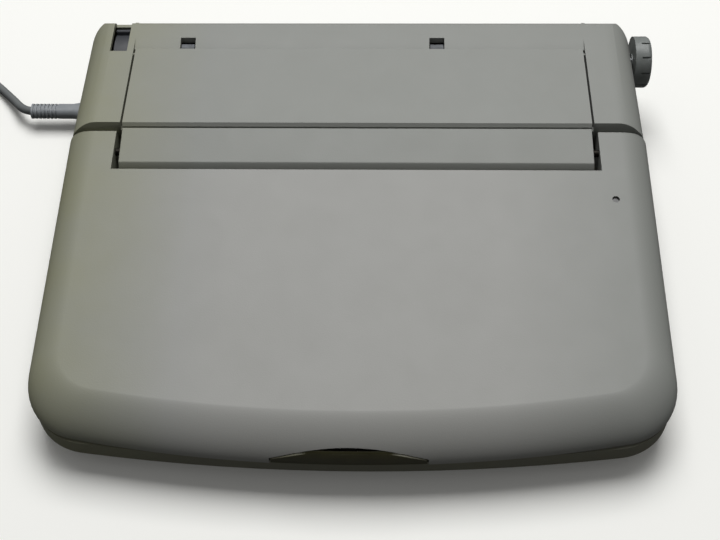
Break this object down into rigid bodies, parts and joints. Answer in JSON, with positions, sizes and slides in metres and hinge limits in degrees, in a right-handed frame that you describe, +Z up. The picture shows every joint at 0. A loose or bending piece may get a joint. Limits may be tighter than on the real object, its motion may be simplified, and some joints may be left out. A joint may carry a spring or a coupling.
{
  "type": "electronic word processor",
  "caption": "Closed notebook-type word processor with a hinged display lid, keyboard, built-in thermal printer with knob-turned platen, and a mains lead.",
  "frame": {"origin": "on the floor under the middle of the machine, its feet at z = 0, half-way between the lid's front and the rear face and between the lid's left edge and the knob's right end", "axes": "+X to the machine's right, where the platen knob is; +Y to its rear; +Z up"},
  "size_m": [0.5007, 0.3007, 0.0581],
  "materials": {
    "case_plastic": "fine textured moulding",
    "case_plastic_aged": "fine textured moulding, a little yellowed",
    "dark_plastic": "satin dark olive moulding",
    "knob_plastic": "satin grey-blue moulding",
    "inner_plastic": "dark blue-grey moulding",
    "black_plastic": "black moulding",
    "light_gear_plastic": "natural acetal",
    "key_plastic": "light key caps",
    "key_plastic_dark": "grey key caps",
    "platen_rubber": "ground rubber",
    "grey_rubber": "grey rubber",
    "foot_rubber": "moulded rubber",
    "belt_rubber": "moulded rubber",
    "lead_vinyl": "grey soft vinyl",
    "steel": "ground steel",
    "zinc_steel": "zinc-plated sheet",
    "screw_steel": "zinc-plated",
    "brass": "plain",
    "ceramic": "glazed ceramic head",
    "display_window": "clear acrylic",
    "display_module": "liquid-crystal panel in a dark frame",
    "indicator": "tinted lens",
    "circuit_board": "glass-epoxy laminate",
    "chip_black": "moulded epoxy",
    "drive_metal": "plated sheet"
  },
  "bodies": {
    "base_body": {"lower_case": "case_plastic_aged", "rubber_feet": "foot_rubber", "case_screws": "screw_steel", "rear_housing": "case_plastic", "feed_motor": "zinc_steel", "paper_guide": "black_plastic", "printer_chassis": "zinc_steel", "platen_bushings": "light_gear_plastic", "guide_rods": "steel", "drive_belt": "belt_rubber", "belt_motor": "zinc_steel", "hinge_cover": "case_plastic", "hinge_brackets": "zinc_steel", "hinge_pins": "steel", "keyboard_deck": "case_plastic_aged", "keyboard_plate": "zinc_steel", "main_board": "circuit_board", "board_chips": "chip_black", "power_board": "circuit_board", "power_transformer": "black_plastic", "backup_battery": "steel", "disk_drive": "drive_metal", "drive_bezel": "case_plastic_aged", "power_inlet": "black_plastic", "cord_connector": "lead_vinyl", "power_lead": "lead_vinyl", "lead_coil": "lead_vinyl", "lead_tail": "lead_vinyl", "mains_plug": "lead_vinyl", "plug_blades": "brass"},
    "platen_body": {"platen_shaft": "steel", "platen_roller": "platen_rubber", "platen_knob": "knob_plastic", "platen_gear": "light_gear_plastic"},
    "idler_body": {"feed_idler_gear": "light_gear_plastic"},
    "pinion_body": {"feed_pinion": "brass"},
    "pinch_body": {"pinch_rollers": "grey_rubber", "pinch_roller_shaft": "steel"},
    "lever_body": {"release_lever": "inner_plastic"},
    "carriage_body": {"print_carriage": "black_plastic", "thermal_head": "ceramic", "ribbon_cassette": "inner_plastic"},
    "drive_pulley_body": {"drive_pulley": "light_gear_plastic"},
    "idler_pulley_body": {"idler_pulley": "light_gear_plastic"},
    "cover_body": {"printer_cover": "case_plastic"},
    "lid_body": {"lid_shell": "case_plastic", "lid_bezel": "case_plastic_aged", "latch_spring": "steel", "display_window": "display_window", "display_module": "display_module", "indicator_lens": "indicator"},
    "latch_body": {"lid_latch": "dark_plastic"},
    "switch_body": {"power_switch": "black_plastic"},
    "function_key_body": {"function_keys": "key_plastic_dark"},
    "number_key_body": {"number_row_keys": "key_plastic"},
    "upper_key_body": {"upper_row_keys": "key_plastic"},
    "home_key_body": {"home_row_keys": "key_plastic"},
    "lower_key_body": {"lower_row_keys": "key_plastic"},
    "bottom_key_body": {"bottom_row_keys": "key_plastic_dark"},
    "space_key_body": {"space_bar": "key_plastic"}
  },
  "joints": [
    {"name": "lid_hinge", "type": "hinge", "parent": "base_body", "child": "lid_body", "pos_m": [-0.00465, 0.04, 0.049], "axis": [-1, 0, 0], "range_deg": [0, 125]},
    {"name": "latch_slide", "type": "slide", "parent": "lid_body", "child": "latch_body", "axis": [0, 0.9964, 0.0844], "range_m": [0, 0.0026], "stiffness_N_per_m": 900, "springref_m": -0.001, "deforming": ["latch_spring"]},
    {"name": "cover_hinge", "type": "hinge", "parent": "base_body", "child": "cover_body", "pos_m": [-0.00465, 0.1095, 0.056], "axis": [-1, 0, 0], "range_deg": [0, 100]},
    {"name": "release_lever_turn", "type": "hinge", "parent": "base_body", "child": "lever_body", "pos_m": [-0.14465, 0.121, 0.0305], "axis": [1, 0, 0], "range_deg": [0, 36]},
    {"name": "platen_spin", "type": "hinge", "parent": "base_body", "child": "platen_body", "pos_m": [-0.00465, 0.1204, 0.04], "axis": [1, 0, 0], "continuous": true},
    {"name": "idler_spin", "type": "hinge", "parent": "base_body", "child": "idler_body", "pos_m": [-0.00465, 0.10024, 0.03226], "axis": [1, 0, 0], "continuous": true},
    {"name": "pinion_spin", "type": "hinge", "parent": "base_body", "child": "pinion_body", "pos_m": [-0.00465, 0.08776, 0.02506], "axis": [1, 0, 0], "continuous": true},
    {"name": "pinch_roller_spin", "type": "hinge", "parent": "base_body", "child": "pinch_body", "pos_m": [-0.00465, 0.11645, 0.05217], "axis": [1, 0, 0], "continuous": true},
    {"name": "carriage_slide", "type": "slide", "parent": "base_body", "child": "carriage_body", "axis": [1, 0, 0], "range_m": [-0.006, 0.206]},
    {"name": "drive_pulley_spin", "type": "hinge", "parent": "base_body", "child": "drive_pulley_body", "pos_m": [-0.12665, 0.068, 0.02], "axis": [0, 0, 1], "range_deg": [-3600, 3600]},
    {"name": "idler_pulley_spin", "type": "hinge", "parent": "base_body", "child": "idler_pulley_body", "pos_m": [0.11735, 0.068, 0.02], "axis": [0, 0, 1], "range_deg": [-3600, 3600]},
    {"name": "power_switch_slide", "type": "slide", "parent": "base_body", "child": "switch_body", "axis": [1, 0, 0], "range_m": [0, 0.004]},
    {"name": "function_key_press", "type": "slide", "parent": "base_body", "child": "function_key_body", "axis": [0, 0.0844, -0.9964], "range_m": [0, 0.0023], "stiffness_N_per_m": 400, "springref_m": -0.001},
    {"name": "number_key_press", "type": "slide", "parent": "base_body", "child": "number_key_body", "axis": [0, 0.0844, -0.9964], "range_m": [0, 0.0023], "stiffness_N_per_m": 400, "springref_m": -0.001},
    {"name": "upper_key_press", "type": "slide", "parent": "base_body", "child": "upper_key_body", "axis": [0, 0.0844, -0.9964], "range_m": [0, 0.0023], "stiffness_N_per_m": 400, "springref_m": -0.001},
    {"name": "home_key_press", "type": "slide", "parent": "base_body", "child": "home_key_body", "axis": [0, 0.0844, -0.9964], "range_m": [0, 0.0023], "stiffness_N_per_m": 400, "springref_m": -0.001},
    {"name": "lower_key_press", "type": "slide", "parent": "base_body", "child": "lower_key_body", "axis": [0, 0.0844, -0.9964], "range_m": [0, 0.0023], "stiffness_N_per_m": 400, "springref_m": -0.001},
    {"name": "bottom_key_press", "type": "slide", "parent": "base_body", "child": "bottom_key_body", "axis": [0, 0.0844, -0.9964], "range_m": [0, 0.0023], "stiffness_N_per_m": 400, "springref_m": -0.001},
    {"name": "space_key_press", "type": "slide", "parent": "base_body", "child": "space_key_body", "axis": [0, 0.0844, -0.9964], "range_m": [0, 0.0023], "stiffness_N_per_m": 400, "springref_m": -0.001}
  ],
  "couplings": [
    {"joint": "idler_spin", "follows": "platen_spin", "ratio": -1.25},
    {"joint": "pinion_spin", "follows": "platen_spin", "ratio": 2.5},
    {"joint": "pinch_roller_spin", "follows": "platen_spin", "ratio": -2.125},
    {"joint": "drive_pulley_spin", "follows": "carriage_slide", "rad_per_m": -130.72},
    {"joint": "idler_pulley_spin", "follows": "carriage_slide", "rad_per_m": -130.72}
  ]
}
